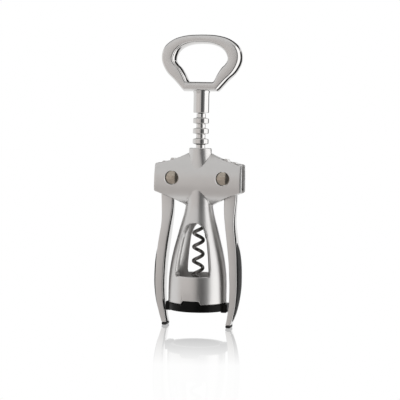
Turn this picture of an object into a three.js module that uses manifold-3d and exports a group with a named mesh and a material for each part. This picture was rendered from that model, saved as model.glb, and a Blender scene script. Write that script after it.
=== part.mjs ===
// Lever corkscrew with a bottle-opener ring for a handle.
// Millimetres, +Z up, front of the object towards -Y, +X to its right.
// The origin lies on the screw axis, level with the tips of the two levers, on which it stands.
import * as THREE from 'three';
import { mergeVertices } from 'three/addons/utils/BufferGeometryUtils.js';
import Module from 'manifold-3d';

const wasm = await Module();
wasm.setup();

// ---------------------------------------------------------------- driving dimensions
const GAP = 0.3;                    // clearance between neighbouring pieces
const ROUND = 36;                   // facets round the large turned shapes
const ROUND_SMALL = 20;             // facets round the small turned shapes

const RING_BOTTOM = 11.1;           // underside of the plastic base ring
const BELL_BOTTOM = 16.1;           // lower edge of the metal bell
const BELL_R = 18.9;                // outside of the bell at its foot
const WINDOW_SILL = 33.6;
const WINDOW_TOP = 67.6;
const HEAD_BOTTOM = 78.4;
const HEAD_TOP = 112.6;
const HEAD_HALF_WIDTH = 28.5;
const HEAD_HALF_DEPTH = 8.6;
const COLLAR_R = 7.35;
const COLLAR_TOP = 115.6;
const NECK_BOTTOM = 138.2;          // lower end of the handle's neck
const NECK_R = 5.1;
const LOOP_BOTTOM = 152.0;          // underside of the opener ring's cross bar
const LOOP_TOP = 188.5;
const LOOP_DEPTH = 13;

const PIVOT_X = 16.8;               // lever pivots, either side of the screw axis
const PIVOT_Z = 96.3;
const PIN_R = 4.2;
const HUB_HALF_DEPTH = 3.2;
const SLOT_HALF_DEPTH = HUB_HALF_DEPTH + GAP;

const RACK_CORE_R = 3.0;
const RACK_R = 5.15;                // over the rings that the lever teeth push
const RACK_PITCH = 6.6;
const RACK_RINGS = 8;
const RACK_TOP_RING = 133.1;        // centre of the highest ring
const RACK_BOTTOM = 84.6;
const PITCH_R = 12.3;               // pitch radius of the lever teeth
const TOOTH_TIP_R = 12.8;
const TOOTH_ROOT_R = 10.9;

const SHANK_R = 1.8;
const SHANK_TOP = 150.0;
const WORM_R = 3.05;                // helix radius, to the middle of the wire
const WIRE_R = 1.15;
const WORM_PITCH = 9.03;
const WORM_TOP = 76.5;
const WORM_TIP = 14.0;

// ---------------------------------------------------------------- materials
const metal = (color, roughness) => new THREE.MeshStandardMaterial({ color, roughness, metalness: 1 });
const plastic = (color, roughness) => new THREE.MeshStandardMaterial({ color, roughness, metalness: 0 });
const SATIN = metal(0xbab7b3, 0.35);
const PIN_STEEL = metal(0x9c9184, 0.3);
const BLACK_PLASTIC = plastic(0x121212, 0.35);
const BLACK_RUBBER = plastic(0x0d0d0d, 0.6);
const BLACK_COATING = metal(0x1c1b1a, 0.4);

// ---------------------------------------------------------------- helpers
function toSolid(geometry) {
  const bare = geometry.clone();
  bare.deleteAttribute('normal');
  bare.deleteAttribute('uv');
  const merged = mergeVertices(bare, 1e-4);
  const index = merged.index.array;
  const triangles = [];
  for (let i = 0; i < index.length; i += 3) {
    const [a, b, c] = [index[i], index[i + 1], index[i + 2]];
    if (a !== b && b !== c && c !== a) triangles.push(a, b, c);
  }
  const vertProperties = new Float32Array(merged.attributes.position.array);
  const solidOf = (list) =>
    new wasm.Manifold(new wasm.Mesh({ numProp: 3, vertProperties, triVerts: new Uint32Array(list) }));
  const solid = solidOf(triangles);
  return solid.volume() > 0 ? solid : solidOf(triangles.reverse());
}

function toMesh(name, solid, material) {
  const out = solid.getMesh();
  const geometry = new THREE.BufferGeometry();
  geometry.setAttribute('position', new THREE.BufferAttribute(new Float32Array(out.vertProperties), 3));
  geometry.setIndex(new THREE.BufferAttribute(new Uint32Array(out.triVerts), 1));
  geometry.computeVertexNormals();
  const mesh = new THREE.Mesh(geometry, material);
  mesh.name = name;
  return mesh;
}

// A turned shape about Z from [radius, z] corners.
function turned(profile, segments = ROUND) {
  const points = profile.map(([r, z]) => new THREE.Vector2(r, z));
  return toSolid(new THREE.LatheGeometry(points, segments).rotateX(Math.PI / 2));
}

// A shape drawn in X and Z, extruded along Y from front to back.
function slab(shape, front, back, options = {}) {
  const geometry = new THREE.ExtrudeGeometry(shape, { depth: back - front, bevelEnabled: false, ...options });
  return toSolid(geometry.rotateX(Math.PI / 2).translate(0, back, 0));
}

function box(low, high) {
  const size = high.map((value, i) => value - low[i]);
  const centre = high.map((value, i) => (value + low[i]) / 2);
  return toSolid(new THREE.BoxGeometry(...size).translate(...centre));
}

function rod(radius, from, to, x = 0, z = 0) {
  const geometry = new THREE.CylinderGeometry(radius, radius, to - from, ROUND_SMALL);
  return toSolid(geometry.translate(x, (from + to) / 2, z));
}

// A skin over rings of points, all rings with the same number of points, closed at both ends.
function loft(rings) {
  const count = rings[0].length;
  const points = rings.flat();
  const middle = (ring) => ring.reduce((sum, p) => sum.add(p), new THREE.Vector3()).divideScalar(count);
  points.push(middle(rings[0]), middle(rings[rings.length - 1]));
  const faces = [];
  for (let k = 0; k + 1 < rings.length; k += 1) {
    for (let i = 0; i < count; i += 1) {
      const a = k * count + i;
      const b = k * count + ((i + 1) % count);
      faces.push(a, b, b + count, a, b + count, a + count);
    }
  }
  const last = (rings.length - 1) * count;
  for (let i = 0; i < count; i += 1) {
    const next = (i + 1) % count;
    faces.push(points.length - 2, next, i, points.length - 1, last + i, last + next);
  }
  return toSolid(new THREE.BufferGeometry().setFromPoints(points).setIndex(faces));
}

// A flat ring of points at height z: a rectangle whose corners round off as power falls to 2.
function roundedRing(z, xLow, xHigh, halfDepth, power, count = 20) {
  const middle = (xLow + xHigh) / 2;
  const half = (xHigh - xLow) / 2;
  return Array.from({ length: count }, (_, i) => {
    const turn = (2 * Math.PI * (i + 0.5)) / count;
    const soften = (value) => Math.sign(value) * Math.abs(value) ** (2 / power);
    return new THREE.Vector3(middle + half * soften(Math.cos(turn)), halfDepth * soften(Math.sin(turn)), z);
  });
}

// ---------------------------------------------------------------- body casting
// Corners of the bell's outside, foot to neck, as [radius, z].
const BELL_OUTSIDE = [
  [BELL_R, BELL_BOTTOM], [BELL_R, 24], [18.6, 33], [17.5, 42], [15.9, 50], [14.1, 57],
  [12.3, 64], [10.6, 70], [9.4, 75], [8.7, 80], [8.3, 88],
];
const BELL_WALL = 2.9;
const FOOT_BORE_R = 16.7;
const RACK_BORE_R = RACK_R + GAP;

function bellAndCollar() {
  return turned([
    [0, BELL_BOTTOM], ...BELL_OUTSIDE, [COLLAR_R, 100], [COLLAR_R, COLLAR_TOP - 0.6],
    [COLLAR_R - 0.6, COLLAR_TOP], [0, COLLAR_TOP],
  ]);
}

function bellCavity() {
  const inside = BELL_OUTSIDE.slice(2, 9).map(([r, z]) => [r - BELL_WALL, z]);
  return turned([
    [0, BELL_BOTTOM - 1], [FOOT_BORE_R, BELL_BOTTOM - 1], [FOOT_BORE_R, 21.5], [BELL_R - BELL_WALL, 21.5],
    ...inside, [RACK_BORE_R, 79], [RACK_BORE_R, COLLAR_TOP + 1], [0, COLLAR_TOP + 1],
  ]);
}

// The bow-tie front outline of the head, crossed with its pillow-shaped side outline.
function head() {
  const front = new THREE.Shape();
  front.moveTo(-7, HEAD_TOP);
  front.lineTo(7, HEAD_TOP);
  front.bezierCurveTo(11, 110.6, 16, 107.2, HEAD_HALF_WIDTH - 1, 105.6);
  front.quadraticCurveTo(HEAD_HALF_WIDTH, 105.4, HEAD_HALF_WIDTH, 104.2);
  front.lineTo(HEAD_HALF_WIDTH, 88.4);
  front.quadraticCurveTo(HEAD_HALF_WIDTH, 87.4, HEAD_HALF_WIDTH - 1, 87.1);
  front.bezierCurveTo(20, 84.4, 12, 81.2, 8.4, HEAD_BOTTOM);
  front.lineTo(-8.4, HEAD_BOTTOM);
  front.bezierCurveTo(-12, 81.2, -20, 84.4, 1 - HEAD_HALF_WIDTH, 87.1);
  front.quadraticCurveTo(-HEAD_HALF_WIDTH, 87.4, -HEAD_HALF_WIDTH, 88.4);
  front.lineTo(-HEAD_HALF_WIDTH, 104.2);
  front.quadraticCurveTo(-HEAD_HALF_WIDTH, 105.4, 1 - HEAD_HALF_WIDTH, 105.6);
  front.bezierCurveTo(-16, 107.2, -11, 110.6, -7, HEAD_TOP);
  const frontSlab = slab(front, -HEAD_HALF_DEPTH - 1, HEAD_HALF_DEPTH + 1, { curveSegments: 5 });

  const widest = 93;
  const side = new THREE.Shape();
  side.moveTo(0.6, HEAD_TOP + 0.1);
  side.bezierCurveTo(6.2, 108.5, HEAD_HALF_DEPTH, 101, HEAD_HALF_DEPTH, widest);
  side.bezierCurveTo(HEAD_HALF_DEPTH, 86, 5.6, 80.4, 0.6, HEAD_BOTTOM - 0.1);
  side.lineTo(-0.6, HEAD_BOTTOM - 0.1);
  side.bezierCurveTo(-5.6, 80.4, -HEAD_HALF_DEPTH, 86, -HEAD_HALF_DEPTH, widest);
  side.bezierCurveTo(-HEAD_HALF_DEPTH, 101, -6.2, 108.5, -0.6, HEAD_TOP + 0.1);
  const reach = HEAD_HALF_WIDTH + 1;
  const depth = 2 * reach;
  const geometry = new THREE.ExtrudeGeometry(side, { depth, bevelEnabled: false, curveSegments: 6 });
  const sideSlab = toSolid(geometry.rotateX(Math.PI / 2).translate(0, reach, 0).rotateZ(Math.PI / 2));
  return frontSlab.intersect(sideSlab);
}

// One arched window: every cut face points at the screw axis.
function windowCutter() {
  const reach = 25;
  const halfWidth = 20.5;
  const shoulder = 56.5;
  const arch = new THREE.Shape();
  arch.moveTo(-halfWidth + 4, WINDOW_SILL);
  arch.lineTo(halfWidth - 4, WINDOW_SILL);
  arch.quadraticCurveTo(halfWidth, WINDOW_SILL, halfWidth, WINDOW_SILL + 3);
  arch.lineTo(halfWidth, shoulder);
  arch.absellipse(0, shoulder, halfWidth, WINDOW_TOP - shoulder, 0, Math.PI, false);
  arch.lineTo(-halfWidth, WINDOW_SILL + 3);
  arch.quadraticCurveTo(-halfWidth, WINDOW_SILL, -halfWidth + 4, WINDOW_SILL);
  const depth = reach - 1;
  const geometry = new THREE.ExtrudeGeometry(arch, { depth, bevelEnabled: false, curveSegments: 7 });
  geometry.rotateX(Math.PI / 2).translate(0, -1, 0);
  const position = geometry.attributes.position;
  for (let i = 0; i < position.count; i += 1) {
    position.setX(i, (position.getX(i) * Math.abs(position.getY(i))) / reach);
  }
  return toSolid(geometry);
}

// The room between the two cheeks of the head for one lever's toothed hub and arm.
function leverSlot(side) {
  const hubRoom = rod(TOOTH_TIP_R + 0.4, -SLOT_HALF_DEPTH, SLOT_HALF_DEPTH, side * PIVOT_X, PIVOT_Z);
  const inner = side * 14;
  const outer = side * (HEAD_HALF_WIDTH + 2);
  const armRoom = box(
    [Math.min(inner, outer), -SLOT_HALF_DEPTH, HEAD_BOTTOM - 2],
    [Math.max(inner, outer), SLOT_HALF_DEPTH, HEAD_TOP],
  );
  return hubRoom.add(armRoom);
}

// Outline of the locating tab on the base ring, and of the notch that it sits in.
function tabOutline(low, high, gap) {
  const tab = new THREE.Shape();
  tab.moveTo(-6.7 - gap, low);
  tab.lineTo(6.7 + gap, low);
  tab.lineTo(4.9 + gap, high + gap);
  tab.lineTo(-4.9 - gap, high + gap);
  return tab;
}

function bodyCasting() {
  let solid = bellAndCollar().add(head()).subtract(bellCavity());
  const cutter = windowCutter();
  solid = solid.subtract(cutter).subtract(cutter.rotate([0, 0, 180]));
  const notch = slab(tabOutline(BELL_BOTTOM - 1, TAB_TOP, GAP), -BELL_R - 1, BELL_R + 1);
  solid = solid.subtract(notch);
  for (const side of [-1, 1]) {
    const pinHole = rod(PIN_R + GAP, -HEAD_HALF_DEPTH - 1, HEAD_HALF_DEPTH + 1, side * PIVOT_X, PIVOT_Z);
    solid = solid.subtract(leverSlot(side)).subtract(pinHole);
  }
  return toMesh('body_casting', solid, SATIN);
}

// ---------------------------------------------------------------- base ring
const TAB_TOP = 17.9;
const RING_BORE_R = 15.1;
const SPIGOT_R = FOOT_BORE_R - GAP;
const LUG_REACH = 20.4;

function baseRing() {
  const seat = BELL_BOTTOM - GAP;
  let ring = turned([
    [RING_BORE_R, RING_BOTTOM], [BELL_R - 0.6, RING_BOTTOM], [BELL_R, RING_BOTTOM + 0.6], [BELL_R, seat],
    [SPIGOT_R, seat], [SPIGOT_R, 20.8], [RING_BORE_R + 0.4, 21], [RING_BORE_R, 20.6],
    [RING_BORE_R, RING_BOTTOM],
  ]);
  const bore = turned([[0, RING_BOTTOM - 1], [RING_BORE_R, RING_BOTTOM - 1], [RING_BORE_R, 23], [0, 23]]);
  const tabRoom = turned([[0, RING_BOTTOM], [BELL_R, RING_BOTTOM], [BELL_R, 23], [0, 23]]);
  const tabs = slab(tabOutline(RING_BOTTOM + 1, TAB_TOP, 0), -BELL_R - 1, BELL_R + 1).intersect(tabRoom);
  ring = ring.add(tabs.subtract(bore));
  for (const side of [-1, 1]) {
    const lug = box([SPIGOT_R, -4.6, 10], [LUG_REACH, 4.6, seat]);
    ring = ring.add(side > 0 ? lug : lug.rotate([0, 0, 180]));
  }
  return toMesh('base_ring', ring, BLACK_PLASTIC);
}

// ---------------------------------------------------------------- handle
// Right half of the opener ring's outer and inner outlines, as [x, z], counted from its cross bar up.
const LOOP_OUTER = [
  [11.2, 152], [14.1, 155], [17.7, 158.9], [21.8, 162.8], [24.4, 166.6], [26, 170.5],
  [26.4, 174.2], [25.7, 178.2], [23.2, 182.2], [17.2, 186.1], [9, 188.1],
];
const LOOP_INNER = [
  [8, 158.2], [9.7, 161], [11.8, 165], [15.1, 168.9], [17.1, 172.8], [15.8, 176.7],
  [11.5, 180.4], [5.2, 182.2],
];

function loopShape() {
  const spline = (half, top) => {
    const mirrored = half.map(([x, z]) => [-x, z]).reverse();
    return [...half, [0, top], ...mirrored].map((p) => new THREE.Vector2(...p)).slice(1);
  };
  const outer = new THREE.Shape();
  outer.moveTo(...LOOP_OUTER[0]);
  outer.splineThru(spline(LOOP_OUTER, LOOP_TOP));
  const hole = new THREE.Path();
  hole.moveTo(...LOOP_INNER[0]);
  hole.splineThru(spline(LOOP_INNER, 182.5));
  outer.holes.push(hole);
  return outer;
}

function handle() {
  const rounding = 3.2;
  const loop = slab(loopShape(), -LOOP_DEPTH / 2 + rounding, LOOP_DEPTH / 2 - rounding, {
    curveSegments: 2, bevelEnabled: true, bevelThickness: rounding, bevelSize: 1.8, bevelOffset: -1.8,
    bevelSegments: 1,
  });
  const neck = turned([
    [0, NECK_BOTTOM], [NECK_R - 0.6, NECK_BOTTOM], [NECK_R, NECK_BOTTOM + 0.6], [NECK_R, 149.6],
    [5.8, LOOP_BOTTOM + 1], [0, LOOP_BOTTOM + 3],
  ], ROUND_SMALL);
  const shankBore = turned([
    [0, NECK_BOTTOM - 1], [SHANK_R + GAP, NECK_BOTTOM - 1], [SHANK_R + GAP, SHANK_TOP + GAP],
    [0, SHANK_TOP + GAP],
  ], ROUND_SMALL);
  return toMesh('handle', loop.add(neck).subtract(shankBore), SATIN);
}

// ---------------------------------------------------------------- rack sleeve and worm
function rackSleeve() {
  const bore = SHANK_R + GAP;
  const profile = [[bore, RACK_BOTTOM], [RACK_CORE_R, RACK_BOTTOM]];
  for (let i = RACK_RINGS - 1; i >= 0; i -= 1) {
    const z = RACK_TOP_RING - i * RACK_PITCH;
    const foot = Math.min(2.1, z - RACK_BOTTOM - 0.1);
    profile.push([RACK_CORE_R, z - foot], [RACK_R, z - 1.5], [RACK_R, z + 1.5], [RACK_CORE_R, z + 2.1]);
  }
  profile.push([RACK_CORE_R, NECK_BOTTOM - GAP], [bore, NECK_BOTTOM - GAP], [bore, RACK_BOTTOM]);
  return toMesh('rack_sleeve', turned(profile, ROUND_SMALL), SATIN);
}

// Rings of points round the wire of a right-handed helix, from the pointed tip up to the shank.
function wormWire() {
  const rings = [];
  const stepsPerTurn = 12;
  const turns = (WORM_TOP - WORM_TIP) / WORM_PITCH;
  const steps = Math.round(turns * stepsPerTurn);
  const leftmost = 60.6;            // a height at which the wire stands at the angle below
  const leftmostTurn = (194 * Math.PI) / 180;
  const centre = (t) => {
    const z = WORM_TIP + (WORM_TOP - WORM_TIP) * t;
    const angle = leftmostTurn + (2 * Math.PI * (z - leftmost)) / WORM_PITCH;
    const closing = Math.min(1, (WORM_TOP - z) / (0.6 * WORM_PITCH));
    const r = WORM_R * Math.sin((closing * Math.PI) / 2);
    return new THREE.Vector3(r * Math.cos(angle), r * Math.sin(angle), z);
  };
  for (let k = 0; k <= steps; k += 1) {
    const t = k / steps;
    const along = centre(t + 0.002).sub(centre(t - 0.002)).normalize();
    const outward = new THREE.Vector3(centre(t).x, centre(t).y, 0.001).normalize();
    const across = new THREE.Vector3().crossVectors(along, outward).normalize();
    const up = new THREE.Vector3().crossVectors(across, along).normalize();
    const radius = WIRE_R * Math.min(1, 0.12 + (k / stepsPerTurn) * 1.2);
    rings.push(Array.from({ length: 6 }, (_, i) => {
      const turn = (2 * Math.PI * i) / 6;
      const point = centre(t).addScaledVector(up, radius * Math.cos(turn));
      return point.addScaledVector(across, radius * Math.sin(turn));
    }));
  }
  return loft(rings);
}

function worm() {
  const shank = turned([
    [0, WORM_TOP - 3.2], [1.2, WORM_TOP - 2.4], [SHANK_R, WORM_TOP - 1], [SHANK_R, 80.6], [3.6, 81],
    [3.6, RACK_BOTTOM - GAP], [SHANK_R, RACK_BOTTOM - GAP], [SHANK_R, SHANK_TOP - 0.5],
    [SHANK_R - 0.5, SHANK_TOP], [0, SHANK_TOP],
  ], 14);
  return toMesh('worm', wormWire().add(shank), BLACK_COATING);
}

// ---------------------------------------------------------------- levers
// The right lever's stations, hub to tip: [z, inner x, outer x, half depth, corner power].
const LEVER_STATIONS = [
  [92, 16.2, 25.2, 3.2, 4], [84, 16.9, 24.9, 3.2, 4], [78, 17.0, 24.5, 3.6, 5], [72, 17.5, 24.1, 4.4, 6],
  [66, 18.4, 24.1, 5.2, 7], [58, 19.6, 25.1, 5.9, 9], [50, 20.7, 26.1, 6.2, 9], [42, 21.6, 26.6, 6.3, 9],
  [34, 22.1, 26.9, 6.3, 9], [26, 22.35, 26.95, 5.9, 9], [18, 22.1, 26.4, 5.2, 9], [11, 21.3, 25.4, 4.5, 9],
  [5.5, 20.5, 24.0, 4.1, 9], [2.1, 19.7, 22.9, 4.0, 9],
];
// The grip's stations on the lever's outer face, top to bottom: [z, outer x, proud height, half width].
const GRIP_STATIONS = [
  [55, 25.5, 0.1, 0.9], [53, 25.7, 0.5, 2.5], [49, 26.1, 1.1, 4.0], [42, 26.6, 1.5, 4.8],
  [34, 26.9, 1.6, 4.9], [26, 26.95, 1.5, 4.6], [18, 26.4, 1.2, 3.9], [11, 25.4, 0.8, 3.0],
  [6, 24.1, 0.5, 2.1], [4, 23.5, 0.2, 1.0],
];
const GRIP_SINK = 1.5;

function gripSolid(gap) {
  const tall = GRIP_STATIONS.length - 1;
  return loft(GRIP_STATIONS.map(([z, x, proud, halfWidth], i) => {
    const height = z + (i === 0 ? gap : 0) - (i === tall ? gap : 0);
    return roundedRing(height, x - GRIP_SINK - gap, x + proud + gap, halfWidth + gap, 2.4, 16);
  }));
}

// A hub with teeth on the side that meets the rack at any point of the lever's swing.
function toothedHub() {
  const outline = new THREE.Shape();
  const toothTurn = RACK_PITCH / PITCH_R;
  const meshedGap = RACK_TOP_RING - 5.5 * RACK_PITCH;   // between two rings, level with the pivots
  const meshTurn = Math.PI - (meshedGap - PIVOT_Z) / PITCH_R;
  const firstTooth = 1;
  const lastTooth = -4;
  const at = (radius, turn) => [PIVOT_X + radius * Math.cos(turn), PIVOT_Z + radius * Math.sin(turn)];
  outline.moveTo(...at(TOOTH_ROOT_R, meshTurn + (firstTooth + 0.5) * toothTurn));
  for (let i = firstTooth; i >= lastTooth; i -= 1) {
    const middle = meshTurn + i * toothTurn;
    const corners = [[TOOTH_ROOT_R, 0.155], [11.9, 0.125], [TOOTH_TIP_R - 0.2, 0.075], [TOOTH_TIP_R, 0.05]];
    for (const [radius, half] of corners) outline.lineTo(...at(radius, middle + half));
    for (const [radius, half] of corners.reverse()) outline.lineTo(...at(radius, middle - half));
    outline.lineTo(...at(TOOTH_ROOT_R, middle - 0.5 * toothTurn));
  }
  const plainFrom = meshTurn + (lastTooth - 0.5) * toothTurn;
  const plainTo = meshTurn + (firstTooth + 0.5) * toothTurn - 2 * Math.PI;
  const plainSteps = 16;
  for (let i = 1; i < plainSteps; i += 1) {
    outline.lineTo(...at(TOOTH_ROOT_R, plainFrom + ((plainTo - plainFrom) * i) / plainSteps));
  }
  return slab(outline, -HUB_HALF_DEPTH, HUB_HALF_DEPTH);
}

function leverSolid() {
  const arm = loft(LEVER_STATIONS.map((station) => roundedRing(...station)));
  const pinBore = rod(PIN_R + GAP, -10, 10, PIVOT_X, PIVOT_Z);
  return toothedHub().add(arm).subtract(pinBore).subtract(gripSolid(GAP));
}

function footSolid() {
  const top = LEVER_STATIONS[LEVER_STATIONS.length - 1];
  const [, inner, outer, halfDepth] = top;
  return loft([
    roundedRing(top[0] - GAP, inner, outer, halfDepth, 9, 16),
    roundedRing(0.3, inner + 0.1, outer - 0.1, halfDepth - 0.1, 9, 16),
    roundedRing(0, inner + 0.3, outer - 0.3, halfDepth - 0.3, 9, 16),
  ]);
}

function pivotPin(side) {
  const shoulder = HEAD_HALF_DEPTH - 0.9;
  const dome = [[0, HEAD_HALF_DEPTH - 0.2], [1.4, HEAD_HALF_DEPTH - 0.3], [2.8, HEAD_HALF_DEPTH - 0.55]];
  const profile = [
    ...dome.map(([r, y]) => [r, -y]), [PIN_R - 0.2, -shoulder - 0.15], [PIN_R, -shoulder],
    [PIN_R, shoulder], [PIN_R - 0.2, shoulder + 0.15], ...dome.reverse(),
  ];
  const upright = turned(profile, ROUND_SMALL);
  const name = side > 0 ? 'right_pivot_pin' : 'left_pivot_pin';
  const mesh = toMesh(name, upright.rotate([90, 0, 0]), PIN_STEEL);
  mesh.position.set(side * PIVOT_X, 0, PIVOT_Z);
  return mesh;
}

function leverSet(side) {
  const place = (solid) => (side > 0 ? solid : solid.mirror([1, 0, 0]));
  const prefix = side > 0 ? 'right' : 'left';
  return [
    toMesh(`${prefix}_lever`, place(leverSolid()), SATIN),
    toMesh(`${prefix}_grip`, place(gripSolid(0)), BLACK_RUBBER),
    toMesh(`${prefix}_foot`, place(footSolid()), BLACK_RUBBER),
    pivotPin(side),
  ];
}

// ---------------------------------------------------------------- the whole corkscrew
const corkscrew = new THREE.Group();
corkscrew.add(bodyCasting(), baseRing(), handle(), rackSleeve(), worm(), ...leverSet(-1), ...leverSet(1));

export default corkscrew;
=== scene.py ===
# %% [markdown]
# # A winged corkscrew in Blender
# A winged corkscrew is a small machine: two levers with teeth lift a ringed rack, and the rack lifts
# the worm out of a cork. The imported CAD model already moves, so this lesson is about its looks: soft
# cast edges, satin and polished chrome, black plastic and rubber. Everything is in metres, and the
# sizes below are written in millimetres times MM.

# %% Load the frame
from math import cos, pi, radians, sin

import bpy
import bmesh
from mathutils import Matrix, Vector
from mathutils.geometry import interpolate_bezier


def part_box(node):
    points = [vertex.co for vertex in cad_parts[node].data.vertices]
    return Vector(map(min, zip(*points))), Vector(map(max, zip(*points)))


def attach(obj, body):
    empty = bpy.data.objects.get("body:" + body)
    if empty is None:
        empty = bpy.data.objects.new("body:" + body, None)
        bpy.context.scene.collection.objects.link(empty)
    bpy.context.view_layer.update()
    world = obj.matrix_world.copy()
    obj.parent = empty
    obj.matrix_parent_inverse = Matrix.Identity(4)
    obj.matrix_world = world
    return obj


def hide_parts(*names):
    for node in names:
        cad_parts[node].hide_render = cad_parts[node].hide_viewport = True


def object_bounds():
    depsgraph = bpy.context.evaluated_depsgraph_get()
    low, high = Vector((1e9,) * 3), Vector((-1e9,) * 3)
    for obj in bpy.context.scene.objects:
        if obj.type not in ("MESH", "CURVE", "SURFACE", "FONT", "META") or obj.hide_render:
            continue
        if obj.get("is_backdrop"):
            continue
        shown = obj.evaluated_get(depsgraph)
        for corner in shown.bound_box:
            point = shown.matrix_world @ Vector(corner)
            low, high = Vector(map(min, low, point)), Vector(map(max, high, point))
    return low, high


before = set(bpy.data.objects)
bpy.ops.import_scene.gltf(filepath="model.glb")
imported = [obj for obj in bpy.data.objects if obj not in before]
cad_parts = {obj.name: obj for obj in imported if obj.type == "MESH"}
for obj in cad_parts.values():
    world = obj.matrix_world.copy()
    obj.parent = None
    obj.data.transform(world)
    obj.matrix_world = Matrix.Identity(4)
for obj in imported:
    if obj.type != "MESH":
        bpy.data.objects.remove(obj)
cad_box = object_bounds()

MM = 0.001

# %% [markdown]
# ## Measures from the frame
# Every place comes from the CAD nodes, so that a new piece lands exactly where the mechanism has it.

# %% Measures
def node_box(name):
    """The lowest and highest corner of a CAD node, in millimetres."""
    low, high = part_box(name)
    return low / MM, high / MM


body_low, body_high = node_box("body_casting")
ring_low, ring_high = node_box("base_ring")
handle_low, handle_high = node_box("handle")
rack_low, rack_high = node_box("rack_sleeve")
_, worm_high = node_box("worm")
pin_low, pin_high = node_box("right_pivot_pin")

PIVOT_X = (pin_low.x + pin_high.x) / 2
PIVOT_Z = (pin_low.z + pin_high.z) / 2
PIN_R = (pin_high.x - pin_low.x) / 2
BELL_R = body_high.y
BELL_BOTTOM = body_low.z
COLLAR_TOP = body_high.z
HEAD_HALF_WIDTH = body_high.x
HEAD_HALF_DEPTH = 8.6
COLLAR_R = 7.35
RACK_R = (rack_high.x - rack_low.x) / 2
GAP = 0.3
SLOT_HALF_DEPTH = 3.5
print("pivot", round(PIVOT_X, 2), round(PIVOT_Z, 2), "bell radius", round(BELL_R, 2))

# %% [markdown]
# ## Helpers for modelling by operators
# An operator acts on whatever is selected, so each helper starts by deselecting everything.
# `first_vertex` shrinks a new plane to one vertex, `draw` extrudes it along an outline, and the
# result is either spun round the screw axis (a turned part) or filled and extruded (a slab).

# %% Selection helpers
def deselect_all():
    if bpy.context.mode != "OBJECT":
        bpy.ops.object.mode_set(mode="OBJECT")
    bpy.ops.object.select_all(action="DESELECT")


def make_active(piece):
    deselect_all()
    piece.select_set(True)
    bpy.context.view_layer.objects.active = piece


def open_for_editing(piece):
    make_active(piece)
    bpy.ops.object.mode_set(mode="EDIT")


def apply_place():
    """Moves the active object's place, turn and scale into its mesh."""
    bpy.ops.object.transform_apply(location=True, rotation=True, scale=True)


# %% Outline helpers
def smooth_rows(rows, per_span):
    """A smooth run through rows of numbers of any length, passing through each of them."""
    out = []
    for k in range(len(rows) - 1):
        before = rows[max(k - 1, 0)]
        start, end = rows[k], rows[k + 1]
        after = rows[min(k + 2, len(rows) - 1)]
        for i in range(per_span):
            t = i / per_span
            out.append(tuple(
                0.5 * (2 * b + (c - a) * t + (2 * a - 5 * b + 4 * c - d) * t * t
                       + (3 * b - a - 3 * c + d) * t ** 3)
                for a, b, c, d in zip(before, start, end, after)))
    return out + [tuple(rows[-1])]


def bezier(start, pull_a, pull_b, end, count):
    """Points on a cubic curve, without its last point."""
    corners = [Vector((x, y, 0)) for x, y in (start, pull_a, pull_b, end)]
    return [(p.x, p.y) for p in interpolate_bezier(*corners, count)][:-1]


CORNER_SHARE = 0.45


def rounded_corners(outline, radius, count, closed=False):
    """The same outline with an arc in place of each corner, no larger than the sides allow."""
    out = []
    last = len(outline) - 1
    for k, corner in enumerate(outline):
        if not closed and k in (0, last):
            out.append(corner)
            continue
        here = Vector(corner)
        back = Vector(outline[k - 1]) - here
        forth = Vector(outline[(k + 1) % len(outline)]) - here
        reach = min(radius, CORNER_SHARE * back.length, CORNER_SHARE * forth.length)
        start = here + back.normalized() * reach
        end = here + forth.normalized() * reach
        for i in range(count + 1):
            t = i / count
            point = start * (1 - t) ** 2 + here * 2 * t * (1 - t) + end * t * t
            out.append((point.x, point.y))
    return out


# %% Drawing helpers
def first_vertex(name, place):
    deselect_all()
    bpy.ops.mesh.primitive_plane_add(size=MM)
    piece = bpy.context.active_object
    piece.name = name
    bpy.ops.object.mode_set(mode="EDIT")
    bpy.ops.mesh.select_mode(type="VERT")
    bpy.ops.mesh.select_all(action="SELECT")
    bpy.ops.mesh.merge(type="CENTER")
    bpy.ops.transform.translate(value=Vector(place) * MM)
    return piece


def draw(name, places):
    """A chain of edges through places, left open in edit mode and all selected."""
    piece = first_vertex(name, places[0])
    for before, after in zip(places, places[1:]):
        step = (Vector(after) - Vector(before)) * MM
        bpy.ops.mesh.extrude_vertices_move(TRANSFORM_OT_translate={"value": step})
    bpy.ops.mesh.select_all(action="SELECT")
    return piece


def tidy_solid(piece, merge=0.002):
    open_for_editing(piece)
    bpy.ops.mesh.select_all(action="SELECT")
    bpy.ops.mesh.remove_doubles(threshold=merge * MM)
    bpy.ops.mesh.normals_make_consistent(inside=False)
    bpy.ops.object.mode_set(mode="OBJECT")
    return piece


WIDE_STEPS, ROUND_STEPS, SMALL_STEPS = 128, 96, 64


def turned(name, profile, steps=ROUND_STEPS):
    """A solid spun about Z from (radius, height) points."""
    piece = draw(name, [(r, 0, z) for r, z in profile])
    bpy.ops.mesh.spin(steps=steps, angle=2 * pi, center=(0, 0, 0), axis=(0, 0, 1))
    return tidy_solid(piece)


def slab(name, outline, low, high, along="Y", steps=1):
    """A filled outline of (across, up) points, extruded along Y or X between two places."""
    length = (high - low) * MM / steps
    if along == "Y":
        piece = draw(name, [(across, low, up) for across, up in outline])
        step = (0, length, 0)
    else:
        piece = draw(name, [(low, across, up) for across, up in outline])
        step = (length, 0, 0)
    bpy.ops.mesh.edge_face_add()
    for _ in range(steps):
        bpy.ops.mesh.extrude_region_move(TRANSFORM_OT_translate={"value": step})
    return tidy_solid(piece)


def rod(name, radius, low, high, x, z):
    """A cylinder along Y."""
    deselect_all()
    bpy.ops.mesh.primitive_cylinder_add(
        vertices=SMALL_STEPS, radius=radius * MM, depth=(high - low) * MM,
        location=(x * MM, (low + high) / 2 * MM, z * MM), rotation=(pi / 2, 0, 0))
    apply_place()
    piece = bpy.context.active_object
    piece.name = name
    return piece


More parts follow.
